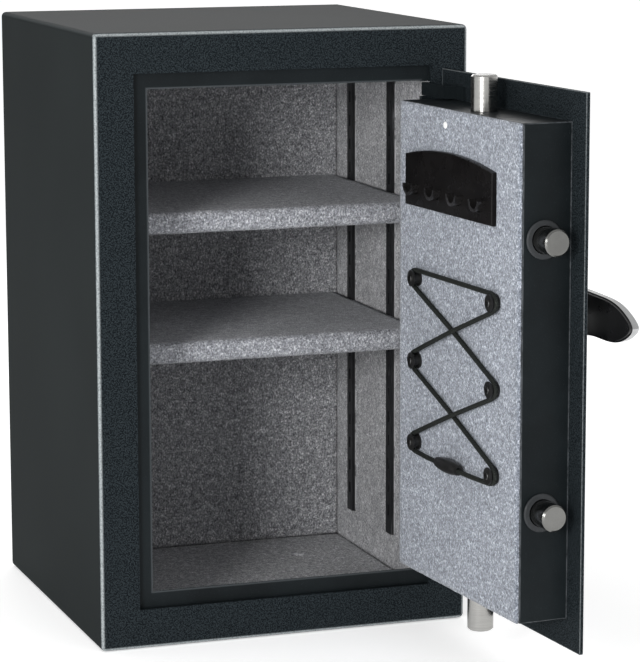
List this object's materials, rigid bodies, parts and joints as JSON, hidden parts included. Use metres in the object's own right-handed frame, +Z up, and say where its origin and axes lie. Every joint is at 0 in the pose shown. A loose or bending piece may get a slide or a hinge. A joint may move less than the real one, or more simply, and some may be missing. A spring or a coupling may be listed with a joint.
{
  "type": "gun safe",
  "caption": "Compact gun safe with a right-hinged door, thrown round bolts, carpeted shelves, a key rack and an elastic lash cord.",
  "frame": {"origin": "centre of the case's footprint, on the floor", "axes": "+X to the right of a person who faces the door, +Y to the back, +Z up"},
  "size_m": [0.4238, 0.6794, 0.6],
  "materials": {
    "case_paint": "dark charcoal powder coat with a fine pebble",
    "jamb_paint": "smooth black paint",
    "pan_paint": "satin black paint",
    "interior_carpet": "short grey speckled carpet",
    "door_carpet": "short blue-grey speckled carpet",
    "board": "plain particle board",
    "standard_steel": "black enamel, worn at the slots",
    "bolt_steel": "satin chrome plate",
    "zinc_steel": "zinc plate",
    "rack_plastic": "black gloss plastic",
    "peg_plastic": "black plastic",
    "cord_elastic": "braided black elastic",
    "lever_chrome": "bright chrome",
    "lever_black": "smooth black plastic or black-coated metal",
    "keypad_plastic": "black textured plastic",
    "key_rubber": "grey rubber"
  },
  "bodies": {
    "case": {"case_shell": "case_paint", "door_jamb": "jamb_paint", "liner_floor": "interior_carpet", "liner_ceiling": "interior_carpet", "liner_back": "interior_carpet", "liner_left": "interior_carpet", "liner_right": "interior_carpet", "standard_left_front": "standard_steel", "standard_left_back": "standard_steel", "standard_right_front": "standard_steel", "standard_right_back": "standard_steel", "upper_shelf_board": "board", "lower_shelf_board": "board", "upper_shelf_cover": "interior_carpet", "lower_shelf_cover": "interior_carpet", "shelf_clips": "zinc_steel", "hinge_brackets": "jamb_paint", "hinge_pins": "zinc_steel"},
    "door": {"hinge_arm_lower": "jamb_paint", "hinge_arm_upper": "jamb_paint", "door_plate": "case_paint", "door_pan": "pan_paint", "door_panel": "door_carpet", "bolt_collars": "pan_paint", "handle_bezel": "lever_chrome", "keypad_housing": "keypad_plastic", "lock_case": "zinc_steel", "key_rack": "rack_plastic", "key_hooks": "rack_plastic", "panel_screw": "bolt_steel", "lash_pegs": "peg_plastic", "peg_screws": "lever_black", "lash_cord": "cord_elastic"},
    "handle": {"handle_spindle": "zinc_steel", "drive_disc": "zinc_steel", "lever_backing": "lever_black", "lever_cap": "lever_chrome", "lever_neck": "lever_black"},
    "side_bolts": {"bolt_carriage": "zinc_steel", "side_bolt_upper": "bolt_steel", "side_bolt_lower": "bolt_steel"},
    "top_bolt_group": {"top_bolt": "bolt_steel", "top_rod": "zinc_steel"},
    "bottom_bolt_group": {"bottom_bolt": "bolt_steel", "bottom_rod": "zinc_steel"},
    "lock_pin_group": {"lock_pin": "zinc_steel"},
    "cord_lock_group": {"cord_lock": "peg_plastic"},
    "key_1_body": {"key_1": "key_rubber"},
    "key_2_body": {"key_2": "key_rubber"},
    "key_3_body": {"key_3": "key_rubber"},
    "key_4_body": {"key_4": "key_rubber"},
    "key_5_body": {"key_5": "key_rubber"},
    "key_6_body": {"key_6": "key_rubber"},
    "key_7_body": {"key_7": "key_rubber"},
    "key_8_body": {"key_8": "key_rubber"},
    "key_9_body": {"key_9": "key_rubber"},
    "key_star_body": {"key_star": "key_rubber"},
    "key_0_body": {"key_0": "key_rubber"},
    "key_hash_body": {"key_hash": "key_rubber"}
  },
  "joints": [
    {"name": "door_swing", "type": "hinge", "parent": "case", "child": "door", "pos_m": [0.1605, -0.1785, 0.3], "axis": [0, 0, 1], "range_deg": [-75, 4]},
    {"name": "handle_turn", "type": "hinge", "parent": "door", "child": "handle", "pos_m": [0.17862, -0.33815, 0.343], "axis": [0.9978, 0.0663, 0], "range_deg": [0, 50]},
    {"name": "side_bolt_slide", "type": "slide", "parent": "door", "child": "side_bolts", "axis": [-0.0663, 0.9978, 0], "range_m": [0, 0.0275]},
    {"name": "top_bolt_slide", "type": "slide", "parent": "door", "child": "top_bolt_group", "axis": [0, 0, -1], "range_m": [0, 0.0275]},
    {"name": "bottom_bolt_slide", "type": "slide", "parent": "door", "child": "bottom_bolt_group", "axis": [0, 0, 1], "range_m": [0, 0.0275]},
    {"name": "lock_pin_slide", "type": "slide", "parent": "door", "child": "lock_pin_group", "axis": [0.0663, -0.9978, 0], "range_m": [0, 0.008]},
    {"name": "key_1_press", "type": "slide", "parent": "door", "child": "key_1_body", "axis": [-0.9978, -0.0663, 0], "range_m": [0, 0.0015], "stiffness_N_per_m": 600},
    {"name": "key_2_press", "type": "slide", "parent": "door", "child": "key_2_body", "axis": [-0.9978, -0.0663, 0], "range_m": [0, 0.0015], "stiffness_N_per_m": 600},
    {"name": "key_3_press", "type": "slide", "parent": "door", "child": "key_3_body", "axis": [-0.9978, -0.0663, 0], "range_m": [0, 0.0015], "stiffness_N_per_m": 600},
    {"name": "key_4_press", "type": "slide", "parent": "door", "child": "key_4_body", "axis": [-0.9978, -0.0663, 0], "range_m": [0, 0.0015], "stiffness_N_per_m": 600},
    {"name": "key_5_press", "type": "slide", "parent": "door", "child": "key_5_body", "axis": [-0.9978, -0.0663, 0], "range_m": [0, 0.0015], "stiffness_N_per_m": 600},
    {"name": "key_6_press", "type": "slide", "parent": "door", "child": "key_6_body", "axis": [-0.9978, -0.0663, 0], "range_m": [0, 0.0015], "stiffness_N_per_m": 600},
    {"name": "key_7_press", "type": "slide", "parent": "door", "child": "key_7_body", "axis": [-0.9978, -0.0663, 0], "range_m": [0, 0.0015], "stiffness_N_per_m": 600},
    {"name": "key_8_press", "type": "slide", "parent": "door", "child": "key_8_body", "axis": [-0.9978, -0.0663, 0], "range_m": [0, 0.0015], "stiffness_N_per_m": 600},
    {"name": "key_9_press", "type": "slide", "parent": "door", "child": "key_9_body", "axis": [-0.9978, -0.0663, 0], "range_m": [0, 0.0015], "stiffness_N_per_m": 600},
    {"name": "key_star_press", "type": "slide", "parent": "door", "child": "key_star_body", "axis": [-0.9978, -0.0663, 0], "range_m": [0, 0.0015], "stiffness_N_per_m": 600},
    {"name": "key_0_press", "type": "slide", "parent": "door", "child": "key_0_body", "axis": [-0.9978, -0.0663, 0], "range_m": [0, 0.0015], "stiffness_N_per_m": 600},
    {"name": "key_hash_press", "type": "slide", "parent": "door", "child": "key_hash_body", "axis": [-0.9978, -0.0663, 0], "range_m": [0, 0.0015], "stiffness_N_per_m": 600},
    {"name": "cord_lock_slide", "type": "slide", "parent": "door", "child": "cord_lock_group", "axis": [-0.0663, 0.9978, 0], "range_m": [-0.012, 0.012]}
  ],
  "couplings": [
    {"joint": "side_bolt_slide", "follows": "handle_turn", "m_per_rad": 0.03094},
    {"joint": "top_bolt_slide", "follows": "handle_turn", "m_per_rad": 0.03094},
    {"joint": "bottom_bolt_slide", "follows": "handle_turn", "m_per_rad": 0.03094}
  ]
}
